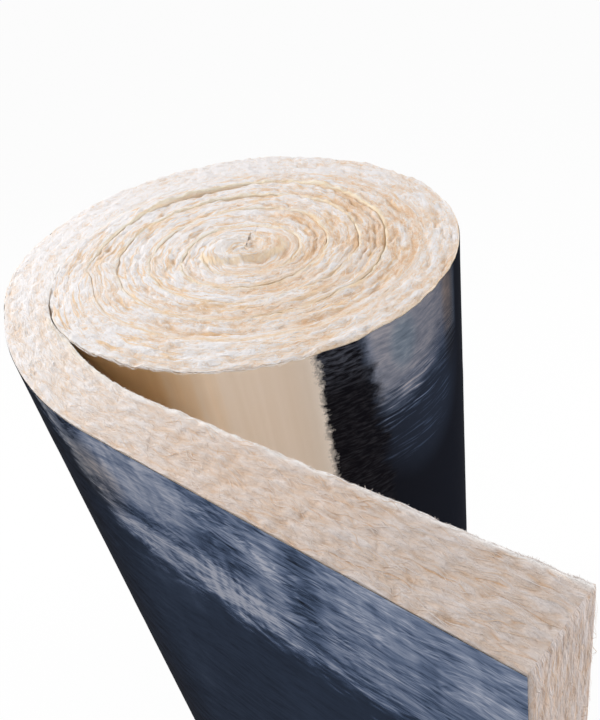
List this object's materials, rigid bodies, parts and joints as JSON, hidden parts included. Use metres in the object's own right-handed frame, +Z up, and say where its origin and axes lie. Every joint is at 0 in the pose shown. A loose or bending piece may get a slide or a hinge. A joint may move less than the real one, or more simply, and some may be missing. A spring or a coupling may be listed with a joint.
{
  "type": "insulation roll",
  "caption": "Foil-faced mineral wool insulation blanket wound into a roll that stands on end, with its outermost turn peeled off as a straight tail.",
  "frame": {"origin": "on the roll's axis, on the floor that it stands on", "axes": "+Z up along the roll's axis; +X the way the tail runs out; the tail leaves the roll on its -Y side, foil facing -Y"},
  "size_m": [0.8646, 0.6218, 1.2],
  "materials": {
    "wool": "matt, fibrous",
    "foil": "bright, crinkled foil"
  },
  "bodies": {
    "root": {"wool_blanket": "wool", "foil_facing": "foil"}
  },
  "joints": []
}
